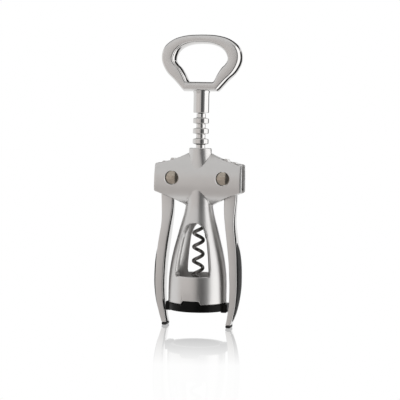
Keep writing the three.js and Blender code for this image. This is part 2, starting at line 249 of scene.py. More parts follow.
def lay_at_pivot(piece, side):
    """Turns a piece spun about Z to lie along Y, on the lever pivot of one side."""
    make_active(piece)
    bpy.ops.transform.rotate(value=pi / 2, orient_axis="X", center_override=(0, 0, 0))
    bpy.ops.transform.translate(value=(side * PIVOT_X * MM, 0, PIVOT_Z * MM))
    apply_place()
    return piece


# %% Modifier helpers
def apply_modifier(piece, kind, **settings):
    modifier = piece.modifiers.new(kind.title(), kind)
    for key, value in settings.items():
        setattr(modifier, key, value)
    make_active(piece)
    bpy.ops.object.modifier_apply(modifier=modifier.name)
    return piece


def combine(piece, other, operation="DIFFERENCE"):
    apply_modifier(piece, "BOOLEAN", object=other, operation=operation, solver="EXACT")
    bpy.data.objects.remove(other)
    return piece


def soften_edges(piece, width, angle, segments):
    return apply_modifier(
        piece, "BEVEL", width=width * MM, segments=segments, limit_method="ANGLE",
        angle_limit=radians(angle), use_clamp_overlap=False, miter_outer="MITER_ARC")


def shade_smooth(piece, angle=35):
    make_active(piece)
    bpy.ops.object.shade_smooth_by_angle(angle=radians(angle))
    return piece


def mirrored(piece, name):
    """A copy with its own mesh, mirrored to the other side of the screw axis."""
    make_active(piece)
    bpy.ops.object.duplicate()
    other = bpy.context.active_object
    other.name = name
    bpy.ops.transform.resize(value=(-1, 1, 1), center_override=(0, 0, 0))
    apply_place()
    return tidy_solid(other, merge=0.0)


# %% [markdown]
# ## Finishes
# Chrome is a mirror, so its look is mostly roughness. The satin faces look blasted before plating:
# a fine grain in bump and a slow drift in roughness. The narrow sides and the turned parts look
# polished, with hardly any grain and faint marks drawn out upwards. All patterns use Object
# coordinates, which on these pieces are metres in the frame.

# %% Material helpers
def new_material(name, colour, metallic, roughness, **sockets):
    material = bpy.data.materials.new(name)
    material.use_nodes = True
    shader = material.node_tree.nodes["Principled BSDF"]
    shader.inputs["Base Color"].default_value = (*colour, 1)
    shader.inputs["Metallic"].default_value = metallic
    shader.inputs["Roughness"].default_value = roughness
    for key, value in sockets.items():
        shader.inputs[key.replace("_", " ")].default_value = value
    return material


def add_noise(material, scale, detail, stretch=(1, 1, 1)):
    """A noise pattern on Object coordinates; scale is in waves per metre."""
    nodes, links = material.node_tree.nodes, material.node_tree.links
    place = nodes.new("ShaderNodeTexCoord")
    mapping = nodes.new("ShaderNodeMapping")
    mapping.inputs["Scale"].default_value = stretch
    noise = nodes.new("ShaderNodeTexNoise")
    noise.inputs["Scale"].default_value = scale
    noise.inputs["Detail"].default_value = detail
    links.new(place.outputs["Object"], mapping.inputs["Vector"])
    links.new(mapping.outputs["Vector"], noise.inputs["Vector"])
    return noise.outputs["Fac"]


def range_node(nodes, from_range, to_range):
    """A node that carries one range of values over to another."""
    spread = nodes.new("ShaderNodeMapRange")
    sockets = ("From Min", "From Max", "To Min", "To Max")
    for key, value in zip(sockets, (*from_range, *to_range)):
        spread.inputs[key].default_value = value
    return spread


def ramp_node(nodes, positions, colours):
    """A colour ramp with two stops."""
    ramp = nodes.new("ShaderNodeValToRGB")
    for stop, position, colour in zip(ramp.color_ramp.elements, positions, colours):
        stop.position = position
        stop.color = (*colour, 1)
    return ramp


# %% Patterns: most of the noise lies in the first range, and colour changes over the second
NOISE_RANGE = (0.3, 0.7)
NOISE_MIDDLE = (0.35, 0.65)


def vary_roughness(material, factor, low, high):
    nodes, links = material.node_tree.nodes, material.node_tree.links
    spread = range_node(nodes, NOISE_RANGE, (low, high))
    links.new(factor, spread.inputs["Value"])
    links.new(spread.outputs["Result"], nodes["Principled BSDF"].inputs["Roughness"])


def vary_colour(material, factor, dark, light):
    nodes, links = material.node_tree.nodes, material.node_tree.links
    ramp = ramp_node(nodes, NOISE_MIDDLE, (dark, light))
    links.new(factor, ramp.inputs["Fac"])
    links.new(ramp.outputs["Color"], nodes["Principled BSDF"].inputs["Base Color"])


def add_bump(material, factor, height):
    """height is the pattern's depth in millimetres."""
    nodes, links = material.node_tree.nodes, material.node_tree.links
    bump = nodes.new("ShaderNodeBump")
    bump.inputs["Strength"].default_value = 1.0
    bump.inputs["Distance"].default_value = height * MM
    links.new(factor, bump.inputs["Height"])
    links.new(bump.outputs["Normal"], nodes["Principled BSDF"].inputs["Normal"])


# %% Chrome and steel
CHROME = (0.612, 0.602, 0.592)
CHROME_DULL = (0.598, 0.588, 0.578)


def satin_chrome():
    material = new_material("satin_chrome", CHROME, 1.0, 0.34)
    vary_roughness(material, add_noise(material, 90, 4), 0.325, 0.355)
    vary_colour(material, add_noise(material, 140, 5), CHROME_DULL, CHROME)
    add_bump(material, add_noise(material, 4200, 2), 0.001)
    return material


def polished_chrome():
    material = new_material("polished_chrome", CHROME, 1.0, 0.07)
    vary_roughness(material, add_noise(material, 160, 6, (1, 1, 0.25)), 0.05, 0.09)
    add_bump(material, add_noise(material, 900, 2, (1, 1, 0.3)), 0.0006)
    return material


def pin_steel():
    material = new_material("pin_steel", (0.40, 0.355, 0.30), 1.0, 0.14)
    vary_roughness(material, add_noise(material, 600, 4), 0.11, 0.18)
    vary_colour(material, add_noise(material, 700, 4), (0.36, 0.32, 0.27), (0.44, 0.39, 0.33))
    add_bump(material, add_noise(material, 2500, 2), 0.002)
    return material


SATIN = satin_chrome()
POLISHED = polished_chrome()
PIN_STEEL = pin_steel()

# %% [markdown]
# The ring is moulded plastic with a soft shine, the grips and feet are rubber, and the worm wears a
# black low-friction coating that is a little thinner, and so lighter, in places.

# %% Black finishes
def black_plastic():
    material = new_material("black_plastic", (0.004, 0.004, 0.004), 0.0, 0.3, Specular_IOR_Level=0.08)
    vary_roughness(material, add_noise(material, 220, 4), 0.26, 0.38)
    vary_colour(material, add_noise(material, 300, 3), (0.003, 0.003, 0.003), (0.006, 0.0055, 0.005))
    add_bump(material, add_noise(material, 3000, 2), 0.006)
    return material


def black_rubber():
    material = new_material("black_rubber", (0.006, 0.006, 0.006), 0.0, 0.45, Specular_IOR_Level=0.4)
    vary_roughness(material, add_noise(material, 260, 4), 0.42, 0.58)
    vary_colour(material, add_noise(material, 320, 3), (0.006, 0.006, 0.006), (0.011, 0.0105, 0.010))
    add_bump(material, add_noise(material, 5200, 3), 0.012)
    return material


def black_coating():
    material = new_material("black_coating", (0.17, 0.162, 0.155), 0.9, 0.2)
    vary_roughness(material, add_noise(material, 500, 4), 0.17, 0.26)
    vary_colour(material, add_noise(material, 420, 5), (0.13, 0.124, 0.118), (0.22, 0.21, 0.20))
    add_bump(material, add_noise(material, 2600, 2), 0.004)
    return material


BLACK_PLASTIC = black_plastic()
BLACK_RUBBER = black_rubber()
BLACK_COATING = black_coating()
FINISHES = (SATIN, POLISHED, PIN_STEEL, BLACK_PLASTIC, BLACK_RUBBER, BLACK_COATING)
print("finishes", [finish.name for finish in FINISHES])


# %% [markdown]
# ## Handing a piece over
# A cast piece wears two finishes, face by face. Each finished piece then takes the place of its CAD
# node and rides on the body that the node belongs to, so that it moves with the mechanism.

# %% Handing a piece over
def paint_sides(piece, faces_are_satin):
    """Satin where the test on a face says so, and polished elsewhere."""
    piece.data.materials.clear()
    piece.data.materials.append(SATIN)
    piece.data.materials.append(POLISHED)
    for polygon in piece.data.polygons:
        polygon.material_index = 0 if faces_are_satin(polygon) else 1


def hand_over(piece, node, body, material=None):
    """The finished piece takes the CAD node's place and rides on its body."""
    if material is not None:
        piece.data.materials.clear()
        piece.data.materials.append(material)
    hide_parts(node)
    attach(piece, body)
    low = [round(min(v.co[i] for v in piece.data.vertices) / MM, 2) for i in range(3)]
    high = [round(max(v.co[i] for v in piece.data.vertices) / MM, 2) for i in range(3)]
    print(piece.name, len(piece.data.polygons), "faces", low, high)


# %% [markdown]
# ## The cast body
# Bell, head and collar are one casting. The bell and the collar are turned from one profile. The
# head is a bow-tie outline crossed with a pillow-shaped side outline: where the pillow dips under
# the round collar and under the bell's neck, the V and the arch of the real casting appear by
# themselves. The hollow, the windows, the notches, the slots for the lever hubs and the pin holes are
# cut next, and the sharp edges are rounded last, because a bevel before a cut leaves the cut sharp.

# %% Bell and collar
BELL_OUTSIDE = [
    (BELL_R, BELL_BOTTOM), (BELL_R, 24), (18.6, 33), (17.5, 42), (15.9, 50), (14.1, 57),
    (12.3, 64), (10.6, 70), (9.4, 75), (8.7, 80), (8.3, 88),
]
BELL_WALL = 2.9
FOOT_BORE_R = 16.7
FOOT_BORE_TOP = 21.5
FOOT_EDGE = 0.35
RACK_BORE_R = RACK_R + GAP
RACK_BORE_FOOT = 79
COLLAR_FOOT = 100
COLLAR_EDGE = 0.7


def bell_and_collar():
    outside = smooth_rows(BELL_OUTSIDE[1:], 5)
    collar = rounded_corners([
        (COLLAR_R, COLLAR_FOOT), (COLLAR_R, COLLAR_TOP), (0, COLLAR_TOP)], COLLAR_EDGE, 5)
    foot = rounded_corners([(0, BELL_BOTTOM), BELL_OUTSIDE[0], BELL_OUTSIDE[1]], FOOT_EDGE, 3)
    return turned("body", foot[:-1] + outside + collar, WIDE_STEPS)


def bell_hollow():
    inside = [(r - BELL_WALL, z) for r, z in smooth_rows(BELL_OUTSIDE[2:9], 4)]
    return turned("hollow", [
        (0, BELL_BOTTOM - 1), (FOOT_BORE_R, BELL_BOTTOM - 1), (FOOT_BORE_R, FOOT_BORE_TOP),
        (BELL_R - BELL_WALL, FOOT_BORE_TOP), *inside, (RACK_BORE_R, RACK_BORE_FOOT),
        (RACK_BORE_R, COLLAR_TOP + 1), (0, COLLAR_TOP + 1)])


# %% Head
HEAD_TOP, HEAD_BOTTOM = 112.6, 78.4
HEAD_MIDDLE = 93
PILLOW_TIP = 0.6


def head_block():
    """The bow tie: its top edge, rounded end and bottom edge on the right, then the same on the left."""
    wide = HEAD_HALF_WIDTH
    at_collar, at_bell = (7, HEAD_TOP), (8.4, HEAD_BOTTOM)
    upper_corner, end_top = (wide - 1, 105.6), (wide, 104.2)
    lower_corner, end_bottom = (wide - 1, 87.1), (wide, 88.4)
    right = [
        at_collar,
        *bezier(at_collar, (11, 110.6), (16, 107.2), upper_corner, 14)[1:],
        *bezier(upper_corner, (wide - 0.3, 105.5), (wide, 105.1), end_top, 6),
        *bezier(end_top, (wide - 0.1, 98), (wide - 0.1, 94), end_bottom, 8),
        *bezier(end_bottom, (wide, 87.6), (wide - 0.3, 87.3), lower_corner, 6),
        *bezier(lower_corner, (20, 84.4), (12, 81.2), at_bell, 14),
        at_bell,
    ]
    left = [(-x, z) for x, z in reversed(right)]
    return slab("head", right + left, -HEAD_HALF_DEPTH - 1, HEAD_HALF_DEPTH + 1)


def head_pillow():
    """The head from the side; its length is in 30 steps, because long thin faces shade badly."""
    widest = (HEAD_HALF_DEPTH, HEAD_MIDDLE)
    tip, foot = (PILLOW_TIP, HEAD_TOP + 0.1), (PILLOW_TIP, HEAD_BOTTOM - 0.1)
    back = [
        *bezier(tip, (6.2, 108.5), (HEAD_HALF_DEPTH, 101), widest, 20),
        *bezier(widest, (HEAD_HALF_DEPTH, 86), (5.6, 80.4), foot, 20),
        foot,
    ]
    front = [(-y, z) for y, z in reversed(back)]
    return slab("pillow", back + front, -HEAD_HALF_WIDTH - 1, HEAD_HALF_WIDTH + 1, "X", 30)


# %% Window cutter
WINDOW_SILL, WINDOW_SHOULDER, WINDOW_TOP = 33.6, 56.5, 67.6
WINDOW_CORNER = 4
ARCH_STEPS = 28


def window_cutter():
    """An arch whose sides all point at the screw axis, made wide and drawn in towards the axis."""
    reach, inner, half = 25, 1, 20.5
    rise = WINDOW_TOP - WINDOW_SHOULDER
    turns = [pi * i / ARCH_STEPS for i in range(ARCH_STEPS + 1)]
    arch = [(half * cos(turn), WINDOW_SHOULDER + rise * sin(turn)) for turn in turns]
    sill = [arch[-1], (-half, WINDOW_SILL), (half, WINDOW_SILL), arch[0]]
    foot = rounded_corners(sill, WINDOW_CORNER, 6)
    piece = slab("window", arch + foot[1:-1], -reach, -inner)
    open_for_editing(piece)
    bpy.ops.mesh.select_all(action="DESELECT")
    mesh = bmesh.from_edit_mesh(piece.data)
    for vertex in mesh.verts:
        vertex.select = vertex.co.y > -2 * inner * MM
    mesh.select_flush(True)
    bmesh.update_edit_mesh(piece.data)
    bpy.ops.transform.resize(value=(inner / reach, 1, 1), center_override=(0, 0, 0))
    bpy.ops.object.mode_set(mode="OBJECT")
    return piece


# %% Cutters for the slots, pin holes and notches
HUB_ROOM_R = 13.2
ARM_ROOM_INNER = 14
PIN_CHAMFER = 0.45


def lever_slot(side):
    """Room for one toothed hub, and for its arm on the way out of the head."""
    hub = rod("slot", HUB_ROOM_R, -SLOT_HALF_DEPTH, SLOT_HALF_DEPTH, side * PIVOT_X, PIVOT_Z)
    inner, outer = side * ARM_ROOM_INNER, side * (HEAD_HALF_WIDTH + 2)
    low, high = HEAD_BOTTOM - 2, HEAD_TOP
    way_out = [(inner, low), (outer, low), (outer, high), (inner, high)]
    arm = slab("arm_room", way_out, -SLOT_HALF_DEPTH, SLOT_HALF_DEPTH)
    return combine(hub, arm, "UNION")


def pin_hole(side):
    """A hole with a small chamfer at both mouths."""
    radius, mouth, end = PIN_R + GAP, HEAD_HALF_DEPTH - PIN_CHAMFER, 10
    half = [(0, end), (radius + end - mouth, end), (radius, mouth)]
    piece = turned("pin_hole", half + [(r, -z) for r, z in reversed(half)], SMALL_STEPS)
    return lay_at_pivot(piece, side)


TAB_TOP, TAB_FOOT_HALF, TAB_TOP_HALF = 17.9, 6.7, 4.9


def tab_outline(low, grow=0.0):
    """The ring's tab, which narrows upwards; the notch for it is the same shape, a little larger."""
    foot, top, up = TAB_FOOT_HALF + grow, TAB_TOP_HALF + grow, TAB_TOP + grow
    return [(-foot, low), (foot, low), (top, up), (-top, up)]


# %% Cast edges
CAST_EDGE, SHARP_ANGLE, PIN_MARGIN = 0.35, radians(32), 2


def soften_cast_edges(piece):
    """Rounds every sharp edge except those of the pin holes, whose mouths are chamfered already."""
    sharp = bmesh.new()
    sharp.from_mesh(piece.data)
    sharp.edges.ensure_lookup_table()
    weights = piece.data.attributes.new("bevel_weight_edge", "FLOAT", "EDGE")
    for edge in sharp.edges:
        middle = (edge.verts[0].co + edge.verts[1].co) / 2 / MM
        from_pin = Vector((abs(middle.x) - PIVOT_X, middle.z - PIVOT_Z)).length
        if from_pin > PIN_R + PIN_MARGIN and edge.calc_face_angle(0) > SHARP_ANGLE:
            weights.data[edge.index].value = 1
    sharp.free()
    return apply_modifier(
        piece, "BEVEL", width=CAST_EDGE * MM, segments=2, limit_method="WEIGHT",
        use_clamp_overlap=False, miter_outer="MITER_ARC")


# %% Body assembly
def cast_body():
    head = combine(head_block(), head_pillow(), "INTERSECT")
    body = combine(bell_and_collar(), head, "UNION")
    combine(body, bell_hollow())
    window = window_cutter()
    make_active(window)
    bpy.ops.object.duplicate()
    rear_window = bpy.context.active_object
    bpy.ops.transform.rotate(value=pi, orient_axis="Z", center_override=(0, 0, 0))
    apply_place()
    combine(body, window)
    combine(body, rear_window)
    combine(body, slab("notch", tab_outline(BELL_BOTTOM - 1, GAP), -BELL_R - 1, BELL_R + 1))
    for side in (-1, 1):
        combine(body, lever_slot(side))
        combine(body, pin_hole(side))
    tidy_solid(body, 0.01)
    return shade_smooth(soften_cast_edges(body), 30)


END_DEPTH = 0.6
body = cast_body()
body.name = "cast_body"
paint_sides(body, lambda face: abs(face.center.x) < (HEAD_HALF_WIDTH - END_DEPTH) * MM)
hand_over(body, "body_casting", "housing")

# %% [markdown]
# ## The base ring
# A plastic ring snaps into the foot of the bell. It guides the bottle's lip, its tabs sit in the
# bell's two notches, and a lug on each side fills the way to the lever beside it.

# %% Base ring
RING_R, RING_BORE_R = BELL_R - 0.1, 15.1
SPIGOT_R, SPIGOT_TOP = FOOT_BORE_R - GAP, ring_high.z - 0.1
SEAT = BELL_BOTTOM - GAP
RING_FOOT, RING_EDGE = ring_low.z + 1.1, 0.5
LUG_END, LUG_CORNER, LUG_HALF_DEPTH = ring_high.x - 0.05, 0.9, 4.6
TAB_BACK, TAB_FOOT = 15.6, ring_low.z + 2


def ring_lug(side):
    low, high = sorted((side * SPIGOT_R, side * LUG_END))
    outline = [(low, ring_low.z), (high, ring_low.z), (high, SEAT), (low, SEAT)]
    rounded = rounded_corners(outline, LUG_CORNER, 4, closed=True)
    lug = slab("lug", rounded, -LUG_HALF_DEPTH, LUG_HALF_DEPTH)
    return soften_edges(lug, RING_EDGE, angle=50, segments=3)


def ring_tab(side):
    """A slab cut round at the front, so that it follows the ring's outside."""
    tab = slab("tab", tab_outline(TAB_FOOT), *sorted((side * TAB_BACK, side * (BELL_R + 1))))
    below, above = TAB_FOOT - 1, TAB_TOP + 2
    rim = turned("rim", [(0, below), (RING_R, below), (RING_R, above), (0, above)], WIDE_STEPS)
    return combine(tab, rim, "INTERSECT")


def base_ring():
    profile = rounded_corners([
        (RING_BORE_R, RING_FOOT), (RING_R, RING_FOOT), (RING_R, SEAT), (SPIGOT_R, SEAT),
        (SPIGOT_R, SPIGOT_TOP), (RING_BORE_R, SPIGOT_TOP)], RING_EDGE, 4, closed=True)
    ring = turned("ring", profile + profile[:1], WIDE_STEPS)
    for side in (-1, 1):
        combine(ring, ring_lug(side), "UNION")
        combine(ring, ring_tab(side), "UNION")
    tidy_solid(ring, 0.01)
    return shade_smooth(ring, 30)


ring = base_ring()
ring.name = "guide_ring"
hand_over(ring, "base_ring", "housing", BLACK_PLASTIC)

# %% [markdown]
# ## The handle
# The opener ring is a closed band whose sides are not round but oval in section: 13 mm deep, with
# only about 2 mm of rounding on each side of a flat face. A bevel rounds both ways alike, so the band is
# built at a third of its depth, its edges are rounded fully, and it is then stretched to its real
# depth, which turns the round sides into oval ones.

# %% Opener ring outlines: right half, from the cross bar up
LOOP_OUTER = [
    (11.2, 152), (12.4, 153.1), (14.1, 155), (17.7, 158.9), (21.8, 162.8), (24.4, 166.6), (26, 170.5),
    (26.4, 174.2), (25.7, 178.2), (23.2, 182.2), (17.2, 186.1), (9, 188.1), (0, 188.5),
]
LOOP_INNER = [
    (7.4, 158.2), (8.2, 158.6), (9.0, 159.8), (10.6, 163.1), (13.2, 167.1), (15.3, 169.1), (16.7, 171.1),
    (17.1, 172.9), (16.6, 175.0), (14.9, 177.8), (11.4, 180.4), (6.0, 182.1), (0, 182.5),
]
SIDE_ROUNDING = 2.15
BAND_HALF_DEPTH = SIDE_ROUNDING + 0.05


def closed_band(half):
    """The whole outline: a smooth run up the right half, over the top and down the left half."""
    right = smooth_rows(half, 5)
    return right + [(-x, z) for x, z in reversed(right[:-1])]


def edge_ring(name, outline):
    piece = draw(name, [(x, -BAND_HALF_DEPTH, z) for x, z in outline])
    bpy.ops.mesh.edge_face_add()
    bpy.ops.mesh.delete(type="ONLY_FACE")
    bpy.ops.object.mode_set(mode="OBJECT")
    return piece


# %% Opener ring
def opener_ring():
    piece = edge_ring("opener", closed_band(LOOP_OUTER))
    inner = edge_ring("inner", closed_band(LOOP_INNER))
    make_active(piece)
    inner.select_set(True)
    bpy.ops.object.join()
    open_for_editing(piece)
    bpy.ops.mesh.select_all(action="SELECT")
    bpy.ops.mesh.bridge_edge_loops()
    thickness = 2 * BAND_HALF_DEPTH * MM
    bpy.ops.mesh.extrude_region_move(TRANSFORM_OT_translate={"value": (0, thickness, 0)})
    tidy_solid(piece)
    apply_modifier(
        piece, "BEVEL", width=SIDE_ROUNDING * MM, segments=9, limit_method="ANGLE",
        angle_limit=radians(60), use_clamp_overlap=False)
    make_active(piece)
    piece.scale = (1, handle_high.y / BAND_HALF_DEPTH, 1)
    apply_place()
    return piece


# %% Neck
NECK_R, NECK_TOP, NECK_EDGE = 5.1, 150.6, 0.6
FLARE_R, FLARE_TOP, PEAK = 5.7, 152.6, 154.5
SHANK_BORE_R, SHANK_BORE_FOOT, SHANK_BORE_TOP = 2.1, 137, 150.3


def handle_neck():
    """A round neck that flares a little under the cross bar."""
    low = handle_low.z
    profile = [(0, low), (NECK_R, low), (NECK_R, NECK_TOP), (FLARE_R, FLARE_TOP), (0, PEAK)]
    return turned("neck", rounded_corners(profile, NECK_EDGE, 5))


def handle():
    piece = combine(opener_ring(), handle_neck(), "UNION")
    bore = turned("bore", [
        (0, SHANK_BORE_FOOT), (SHANK_BORE_R, SHANK_BORE_FOOT), (SHANK_BORE_R, SHANK_BORE_TOP),
        (0, SHANK_BORE_TOP)], 48)
    combine(piece, bore)
    tidy_solid(piece, 0.01)
    return shade_smooth(piece, 40)


FLAT_ENOUGH, SATIN_FROM = 0.97, 151 * MM
opener = handle()
opener.name = "opener_handle"
paint_sides(opener, lambda face: abs(face.normal.y) > FLAT_ENOUGH and face.center.z > SATIN_FROM)
hand_over(opener, "handle", "screw")

# %% [markdown]
# ## Rack sleeve and worm
# The rack is turned: a thin core with thick rings at an even pitch, which the lever teeth push. The
# worm is one length of wire, so it is a curve with a round bevel. Its path winds up from the tip,
# closes in on the screw axis and runs straight up inside the rack.

# %% Rack sleeve
RACK_PITCH, RACK_TOP_RING, RACK_RINGS = 6.6, 133.1, 8
CORE_R, RACK_EDGE = 3.0, 0.35
RING_ROOT_HALF, RING_CREST_HALF = 2.1, 1.5


def rack_sleeve():
    """Rings that are narrower at the crest than at the root, listed from the lowest up."""
    bore = SHANK_BORE_R
    profile = [(bore, rack_low.z), (CORE_R, rack_low.z)]
    for k in reversed(range(RACK_RINGS)):
        z = RACK_TOP_RING - k * RACK_PITCH
        below = max(z - RING_ROOT_HALF, rack_low.z + 0.1)
        profile += [
            (CORE_R, below), (RACK_R, z - RING_CREST_HALF), (RACK_R, z + RING_CREST_HALF),
            (CORE_R, z + RING_ROOT_HALF)]
    profile += [(CORE_R, rack_high.z), (bore, rack_high.z)]
    profile = rounded_corners(profile, RACK_EDGE, 3)
    return shade_smooth(turned("rack", profile + profile[:1]), 40)


rack = rack_sleeve()
rack.name = "ringed_rack"
hand_over(rack, "rack_sleeve", "rack", POLISHED)

# %% Worm
WORM_PITCH, WORM_R, WIRE_R, SHANK_R = 9.03, 3.05, 1.15, 1.8
HELIX_TOP, HELIX_TIP, HELIX_STEPS = 76.5, 14.0, 150
LEFTMOST_TURN, LEFTMOST_HEIGHT = radians(194), 60.6
CLOSING_HEIGHT = 0.6 * WORM_PITCH
POINT_START, POINT_STEPS = 0.1, 16


def worm_path():
    """Rows of x, y, z and wire radius, from the tip to the top of the shank."""
    rows = []
    for k in range(HELIX_STEPS + 1):
        z = HELIX_TIP + (HELIX_TOP - HELIX_TIP) * k / HELIX_STEPS
        turn = LEFTMOST_TURN + 2 * pi * (z - LEFTMOST_HEIGHT) / WORM_PITCH
        closing = min(1, (HELIX_TOP - z) / CLOSING_HEIGHT)
        reach = WORM_R * sin(closing * pi / 2)
        wire = WIRE_R * min(1, POINT_START + k / POINT_STEPS)
        wire += (SHANK_R - WIRE_R) * (1 - closing)
        rows.append((reach * cos(turn), reach * sin(turn), z, wire))
    rows += [(0, 0, HELIX_TOP + 1.5, SHANK_R), (0, 0, worm_high.z - 0.4, SHANK_R)]
    rows.append((0, 0, worm_high.z, SHANK_R - 0.4))
    return rows


SHOULDER_R, SHOULDER_FOOT, SHOULDER_CHAMFER = 3.6, 80.6, 0.4


def shank_shoulder():
    """The collar on the shank that carries the rack."""
    foot, top = SHOULDER_FOOT, rack_low.z - GAP
    profile = [
        (0, foot), (SHOULDER_R - SHOULDER_CHAMFER, foot), (SHOULDER_R, foot + SHOULDER_CHAMFER),
        (SHOULDER_R, top), (0, top)]
    return turned("shoulder", rounded_corners(profile, 0.3, 3), SMALL_STEPS)


def worm_piece():
    deselect_all()
    bpy.ops.curve.primitive_nurbs_path_add()
    wire = bpy.context.active_object
    wire.data.splines.clear()
    spline = wire.data.splines.new("POLY")
    rows = worm_path()
    spline.points.add(len(rows) - 1)
    for point, (x, y, z, radius) in zip(spline.points, rows):
        point.co = (x * MM, y * MM, z * MM, 1)
        point.radius = radius
    wire.data.dimensions = "3D"
    wire.data.bevel_depth = MM
    wire.data.bevel_resolution = 5
    wire.data.use_fill_caps = True
    make_active(wire)
    bpy.ops.object.convert(target="MESH")
    wire = tidy_solid(bpy.context.active_object)
    combine(wire, shank_shoulder(), "UNION")
    return shade_smooth(tidy_solid(wire, 0.005), 45)


worm = worm_piece()
worm.name = "coated_worm"
hand_over(worm, "worm", "screw", BLACK_COATING)

# %% [markdown]
# ## Levers
# A lever is a long box whose section changes on the way down, so it starts as one face that is
# extruded from station to station and resized at each. The long edges then get a bevel by weight:
# a little wider near the head, and narrow along the grip, where the edge is crisp. The right-hand set
# is modelled, and the left-hand set is a mirrored copy.

# %% Lever stations: height, inner side, outer side, half depth, edge radius
LEVER_STATIONS = [
    (92, 16.2, 25.2, 3.2, 0.8), (84, 16.9, 24.9, 3.2, 0.9), (78, 17.0, 24.5, 3.6, 0.9),
    (72, 17.5, 24.1, 4.4, 0.8), (66, 18.4, 24.1, 5.2, 0.6), (58, 19.6, 25.1, 5.9, 0.4),
    (50, 20.7, 26.1, 6.2, 0.35), (42, 21.6, 26.6, 6.3, 0.35), (34, 22.1, 26.9, 6.3, 0.35),
    (26, 22.35, 26.95, 5.9, 0.35), (18, 22.1, 26.4, 5.2, 0.35), (11, 21.3, 25.4, 4.5, 0.35),
    (5.5, 20.5, 24.0, 4.1, 0.35), (2.1, 19.7, 22.9, 4.0, 0.35),
]


def stacked(name, stations):
    """A solid skinned over level rectangles; a station is height, low x, high x, half depth."""
    z, x_low, x_high, half = stations[0][:4]
    deselect_all()
    bpy.ops.mesh.primitive_plane_add(size=1, location=((x_low + x_high) / 2 * MM, 0, z * MM))
    piece = bpy.context.active_object
    piece.name = name
    piece.scale = ((x_high - x_low) * MM, 2 * half * MM, 1)
    apply_place()
    open_for_editing(piece)
    bpy.ops.mesh.select_all(action="SELECT")
    for before, after in zip(stations, stations[1:]):
        shift = (after[1] + after[2] - before[1] - before[2]) / 2
        step = (shift * MM, 0, (after[0] - before[0]) * MM)
        bpy.ops.mesh.extrude_region_move(TRANSFORM_OT_translate={"value": step})
        grow = ((after[2] - after[1]) / (before[2] - before[1]), after[3] / before[3], 1)
        centre = ((after[1] + after[2]) / 2 * MM, 0, after[0] * MM)
        bpy.ops.transform.resize(value=grow, center_override=centre)
    return tidy_solid(piece)


UPRIGHT = 0.6


def bevel_by_height(piece, radius_at, widest, segments):
    """Bevels the long edges, each by the radius that radius_at gives for its middle."""
    weights = piece.data.attributes.new("bevel_weight_edge", "FLOAT", "EDGE")
    vertices = piece.data.vertices
    for edge in piece.data.edges:
        a, b = (vertices[i].co for i in edge.vertices)
        if abs(a.z - b.z) > UPRIGHT * (a - b).length:
            weights.data[edge.index].value = radius_at((a + b) / 2 / MM) / widest
    return apply_modifier(
        piece, "BEVEL", width=widest * MM, segments=segments, limit_method="WEIGHT",
        use_clamp_overlap=False)


def lever_arm():
    rows = smooth_rows(LEVER_STATIONS, 4)
    piece = stacked("arm", rows)

    def radius_at(place):
        return min(rows, key=lambda row: abs(row[0] - place.z))[4]

    return bevel_by_height(piece, radius_at, max(station[4] for station in LEVER_STATIONS), 4)


# %% [markdown]
# The hub is a gear made as a flat slab. Its teeth are as far apart along the pitch circle as the rings
# are along the rack, and the row of teeth is turned so that one lies between two rings when the levers
# are down. Only the side that meets the rack on the lever's way up has teeth.

# %% Toothed hub
PITCH_R, TIP_R, ROOT_R = 12.3, 12.8, 10.9
FIRST_TOOTH, LAST_TOOTH = 1, -4
FLANK = [(ROOT_R, 0.155), (11.9, 0.125), (TIP_R - 0.2, 0.075), (TIP_R, 0.05)]   # radius, half angle
PLAIN_STEPS = 24
HUB_HALF_DEPTH, HUB_EDGE = 3.2, 0.2


def hub_outline():
    """The teeth, and then a plain arc at the root's radius round the rest of the hub."""
    tooth_turn = RACK_PITCH / PITCH_R
    meshed_gap = RACK_TOP_RING - 5.5 * RACK_PITCH
    mesh_turn = pi - (meshed_gap - PIVOT_Z) / PITCH_R
    polar = []
    for tooth in range(FIRST_TOOTH, LAST_TOOTH - 1, -1):
        middle = mesh_turn + tooth * tooth_turn
        polar += [(radius, middle + half) for radius, half in FLANK]
        polar += [(radius, middle - half) for radius, half in reversed(FLANK)]
    start = mesh_turn + (LAST_TOOTH - 0.5) * tooth_turn
    end = mesh_turn + (FIRST_TOOTH + 0.5) * tooth_turn - 2 * pi
    polar += [(ROOT_R, start + (end - start) * k / PLAIN_STEPS) for k in range(PLAIN_STEPS + 1)]
    return [(PIVOT_X + r * cos(a), PIVOT_Z + r * sin(a)) for r, a in polar]


def lever_hub():
    hub = slab("hub", hub_outline(), -HUB_HALF_DEPTH, HUB_HALF_DEPTH)
    return soften_edges(hub, HUB_EDGE, angle=40, segments=1)


# %% [markdown]
# ## Grips, feet and rivets
# A soft grip is let into each lever's outer face, so one function makes both the grip and the slightly
# larger cutter for its recess. Only the grip is crowned, because a wide bevel would fold the cutter.
# The foot is a small pad under the lever's tip, and the rivet is turned with a low dome at both ends.

# %% Grip: height, outer x of the lever, proud height, half width
GRIP_STATIONS = [
    (55.0, 25.5, 0.1, 0.9), (53, 25.7, 0.5, 2.5), (49, 26.1, 1.1, 4.0), (42, 26.6, 1.5, 4.8),
    (34, 26.9, 1.6, 4.9), (26, 26.95, 1.5, 4.6), (18, 26.4, 1.2, 3.9), (11, 25.4, 0.8, 3.0),
    (6, 24.1, 0.5, 2.1), (4, 23.5, 0.2, 1.0),
]
GRIP_SINK = 1.5
RECESS_GROW = 0.2
PLAIN_EDGE, WIDEST_CROWN = 0.4, 2.2


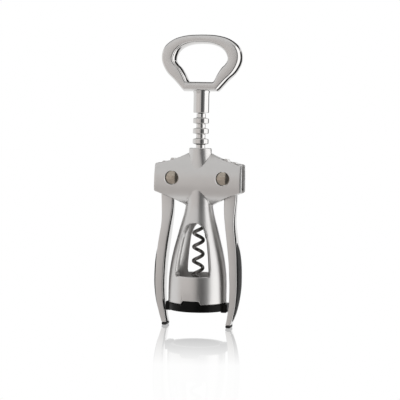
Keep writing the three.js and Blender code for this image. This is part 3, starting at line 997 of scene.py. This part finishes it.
def grip_blank(name, grow, crowned=False):
    rows = smooth_rows(GRIP_STATIONS, 4)
    stations = [(z, x - GRIP_SINK - grow, x + proud + grow, half + grow) for z, x, proud, half in rows]
    piece = stacked(name, stations)

    def radius_at(place):
        _, x, proud, half = min(rows, key=lambda row: abs(row[0] - place.z))
        outer_edge = place.x > x - 0.5
        return min(proud + 0.5, half - 0.3) if crowned and outer_edge else PLAIN_EDGE

    return bevel_by_height(piece, radius_at, WIDEST_CROWN, 6)


def right_lever():
    piece = combine(lever_arm(), lever_hub(), "UNION")
    combine(piece, rod("pin_bore", PIN_R + GAP, -9, 9, PIVOT_X, PIVOT_Z))
    combine(piece, grip_blank("recess", RECESS_GROW))
    return tidy_solid(piece, 0.005)


def right_grip():
    return tidy_solid(grip_blank("grip", 0.0, crowned=True), 0.005)


# %% Foot
PAD_EDGE_Z, PAD_TAPER, PAD_BOTTOM_TAPER = 0.4, 0.1, 0.4


def right_foot():
    """A pad as large as the lever's tip, drawn in a little where it stands."""
    tip, inner, outer, half, _ = LEVER_STATIONS[-1]
    piece = stacked("foot", [
        (tip - GAP, inner, outer, half),
        (PAD_EDGE_Z, inner + PAD_TAPER, outer - PAD_TAPER, half - PAD_TAPER),
        (0, inner + PAD_BOTTOM_TAPER, outer - PAD_BOTTOM_TAPER, half - PAD_BOTTOM_TAPER)])
    return soften_edges(piece, 0.35, angle=50, segments=3)


# %% Pivot pin
DOME_DROP, DOME_STEPS, DOME_RIM = 0.95, 12, 1.3


def right_pin():
    end = pin_high.y
    shares = [k / DOME_STEPS for k in range(DOME_STEPS + 1)]
    dome = [(PIN_R * share, end - DOME_DROP * share ** 2) for share in shares]
    upper = dome + [(PIN_R, end - DOME_RIM)]
    profile = upper + [(r, -z) for r, z in reversed(upper)]
    return lay_at_pivot(turned("pin", profile, SMALL_STEPS), 1)


# %% Both sides
LEVER_FACE = 0.8
lever = right_lever()
lever.name = "right_arm"
for piece, side in ((lever, "right"), (mirrored(lever, "left_arm"), "left")):
    shade_smooth(piece)
    paint_sides(piece, lambda face: abs(face.normal.y) > LEVER_FACE)
    hand_over(piece, f"{side}_lever", f"{side}_wing")

grip = right_grip()
grip.name = "right_soft_grip"
for piece, side in ((grip, "right"), (mirrored(grip, "left_soft_grip"), "left")):
    hand_over(shade_smooth(piece, 50), f"{side}_grip", f"{side}_wing", BLACK_RUBBER)

foot = right_foot()
foot.name = "right_foot_pad"
for piece, side in ((foot, "right"), (mirrored(foot, "left_foot_pad"), "left")):
    hand_over(shade_smooth(piece, 40), f"{side}_foot", f"{side}_wing", BLACK_RUBBER)

pin = right_pin()
pin.name = "right_rivet"
for piece, side in ((pin, "right"), (mirrored(pin, "left_rivet"), "left")):
    hand_over(shade_smooth(piece), f"{side}_pivot_pin", "housing", PIN_STEEL)

# %% [markdown]
# ## Studio
# Chrome shows whatever stands round it. Walls on the left give the even grey of the flat faces, a tall
# bright panel on the right gives the white stripe of the round parts, and dark flags give the dark
# stripe beside it and the thin dark outline on the right. None of them is in the camera's sight, and
# reflections look straight through the floor at their lower halves. The world is white up to a little
# above the horizon, which makes the background, and slightly darker higher up.

# %% World
WHITE_BELOW, PALE_ABOVE = 0.24, 0.4
WHITE, PALE = (1, 1, 1), (0.86, 0.86, 0.86)


def set_world():
    world = bpy.data.worlds.new("pale_room")
    bpy.context.scene.world = world
    world.use_nodes = True
    nodes, links = world.node_tree.nodes, world.node_tree.links
    place = nodes.new("ShaderNodeTexCoord")
    split = nodes.new("ShaderNodeSeparateXYZ")
    ramp = ramp_node(nodes, (WHITE_BELOW, PALE_ABOVE), (WHITE, PALE))
    links.new(place.outputs["Generated"], split.inputs["Vector"])
    links.new(split.outputs["Z"], ramp.inputs["Fac"])
    links.new(ramp.outputs["Color"], nodes["Background"].inputs["Color"])
    nodes["Background"].inputs["Strength"].default_value = 1.0


set_world()
bpy.context.scene.view_settings.view_transform = "Standard"


# %% Glowing surfaces
def glow(name, value, tint):
    material = bpy.data.materials.new(name)
    material.use_nodes = True
    nodes, links = material.node_tree.nodes, material.node_tree.links
    nodes.remove(nodes["Principled BSDF"])
    light = nodes.new("ShaderNodeEmission")
    light.inputs["Color"].default_value = (*(value * part for part in tint), 1)
    links.new(light.outputs["Emission"], nodes["Material Output"].inputs["Surface"])
    return material


def glowing_plane(name, size, place, turn, value, tint):
    """A plane that shines on the object and shows in the chrome, out of the camera's sight."""
    deselect_all()
    bpy.ops.mesh.primitive_plane_add(size=1, location=place, rotation=turn)
    piece = bpy.context.active_object
    piece.name = name
    piece.scale = (*size, 1)
    piece.data.materials.append(glow(name, value, tint))
    piece.visible_camera = False
    piece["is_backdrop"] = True
    print(name, "glows at", value)


# %% [markdown]
# The floor glows as white as the background, so from the camera it can't be told from it, and a
# reflection is mixed in near the object, which fades with the distance from the middle.

# %% Floor
FADE_DISTANCE = (0.02, 0.14)
FADE_SHINE = (0.55, 0.02)
SHINE_ROUGHNESS = 0.03
FLOOR_SIZE = 20


def floor_material():
    """White all over, with a reflection that is strong beside the object and fades out around it."""
    material = glow("pale_floor", 1.0, WHITE)
    nodes, links = material.node_tree.nodes, material.node_tree.links
    place = nodes.new("ShaderNodeTexCoord")
    distance = nodes.new("ShaderNodeVectorMath")
    distance.operation = "LENGTH"
    fade = range_node(nodes, FADE_DISTANCE, FADE_SHINE)
    shine = nodes.new("ShaderNodeBsdfGlossy")
    shine.inputs["Color"].default_value = (*WHITE, 1)
    shine.inputs["Roughness"].default_value = SHINE_ROUGHNESS
    mix = nodes.new("ShaderNodeMixShader")
    links.new(place.outputs["Object"], distance.inputs[0])
    links.new(distance.outputs["Value"], fade.inputs["Value"])
    links.new(fade.outputs["Result"], mix.inputs["Fac"])
    links.new(nodes["Emission"].outputs["Emission"], mix.inputs[1])
    links.new(shine.outputs["BSDF"], mix.inputs[2])
    links.new(mix.outputs["Shader"], nodes["Material Output"].inputs["Surface"])
    return material


deselect_all()
bpy.ops.mesh.primitive_plane_add(size=FLOOR_SIZE, location=(0, 0, 0))
floor = bpy.context.active_object
floor.name = "floor"
floor.data.materials.append(floor_material())
floor.visible_glossy = False
floor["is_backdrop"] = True

# %% [markdown]
# A panel is placed by the turns of its two ends, in degrees to the right of the camera, because that
# decides where its reflection lies on a round part: a surface turned by some angle away from the
# camera shows what stands at twice that angle.

# %% Panels and flags, from the camera's left round to its right
CAMERA_TURN = 14
WARM = (1.03, 0.985, 0.963)
FLOOR_DEPTH, WALL_FOOT, WALL_TOP, EDGE_TOP, ROOM_TOP = -1.4, -0.12, 0.42, 0.6, 1.4
PANELS = [
    # name, turns of its two ends, distance, foot, top, brightness, tint
    ("far_wall", (-80, -27), 1.5, WALL_FOOT, WALL_TOP, 0.84, WARM),
    ("near_wall", (-27, -5), 1.5, WALL_FOOT, WALL_TOP, 0.68, WARM),
    ("low_wall", (-80, -5), 1.5, FLOOR_DEPTH, WALL_FOOT, 0.65, WARM),
    ("dark_flag", (-5, 26), 1.4, FLOOR_DEPTH, ROOM_TOP, 0.12, WHITE),
    ("soft_flag", (26, 48), 1.4, FLOOR_DEPTH, ROOM_TOP, 0.26, WHITE),
    ("bright_panel", (48, 122), 1.4, FLOOR_DEPTH, ROOM_TOP, 1.6, WHITE),
    ("edge_flag", (124, 150), 1.6, FLOOR_DEPTH, EDGE_TOP, 0.03, WHITE),
]


def upright_panel(name, ends, distance, foot, top, value, tint):
    """A panel that faces the object, with both its ends at the given distance."""
    from_turn, to_turn = (CAMERA_TURN + end for end in ends)
    middle, half = radians((from_turn + to_turn) / 2), radians((to_turn - from_turn) / 2)
    reach = distance * cos(half)
    place = (reach * sin(middle), -reach * cos(middle), (foot + top) / 2)
    size = (2 * distance * sin(half), top - foot)
    glowing_plane(name, size, place, (pi / 2, 0, middle), value, tint)


for row in PANELS:
    upright_panel(*row)

# %% Black card above and behind, for the dark line along upper edges
BEHIND, LIFT, CARD_DISTANCE = radians(CAMERA_TURN + 180), radians(42), 1.3
CARD_SIZE, CARD_GLOW = (2.2, 0.62), 0.03
level = CARD_DISTANCE * cos(LIFT)
card_place = (level * sin(BEHIND), -level * cos(BEHIND), CARD_DISTANCE * sin(LIFT))
glowing_plane("top_card", CARD_SIZE, card_place, (pi / 2 - LIFT, 0, BEHIND), CARD_GLOW, WHITE)

# %% [markdown]
# ## Camera
# The object stands in the middle of the picture, seen from slightly right of its front and from just
# under the handle, through a long lens, with the camera leaning by about a degree.

# %% Camera
CAMERA_DISTANCE = 0.795
CAMERA_HEIGHT = 0.121
LOOK_AT = Vector((0, 0, 0.082))
LENS = 110.7
LEAN = 1.15
SIDE_STEP = 0.00036


def set_camera():
    turn = radians(CAMERA_TURN)
    sideways = Vector((cos(turn), sin(turn), 0)) * SIDE_STEP
    place = Vector((CAMERA_DISTANCE * sin(turn), -CAMERA_DISTANCE * cos(turn), CAMERA_HEIGHT)) + sideways
    data = bpy.data.cameras.new("camera")
    data.lens = LENS
    camera = bpy.data.objects.new("camera", data)
    bpy.context.scene.collection.objects.link(camera)
    camera.location = place
    camera.rotation_euler = (LOOK_AT + sideways - place).to_track_quat("-Z", "Y").to_euler()
    camera.rotation_euler.rotate_axis("Z", radians(LEAN))
    bpy.context.scene.camera = camera
    print("camera at", [round(value, 3) for value in place])


set_camera()

# %% [markdown]
# ## Sizes
# Both boxes, the CAD model's and the visual model's, are printed. The visual model has to stay inside
# the CAD model's box.

# %% Sizes
visual_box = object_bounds()
boxes = {"cad": [list(corner) for corner in cad_box], "visual": [list(corner) for corner in visual_box]}
for name, box in boxes.items():
    print(name, [round(value / MM, 2) for corner in box for value in corner])
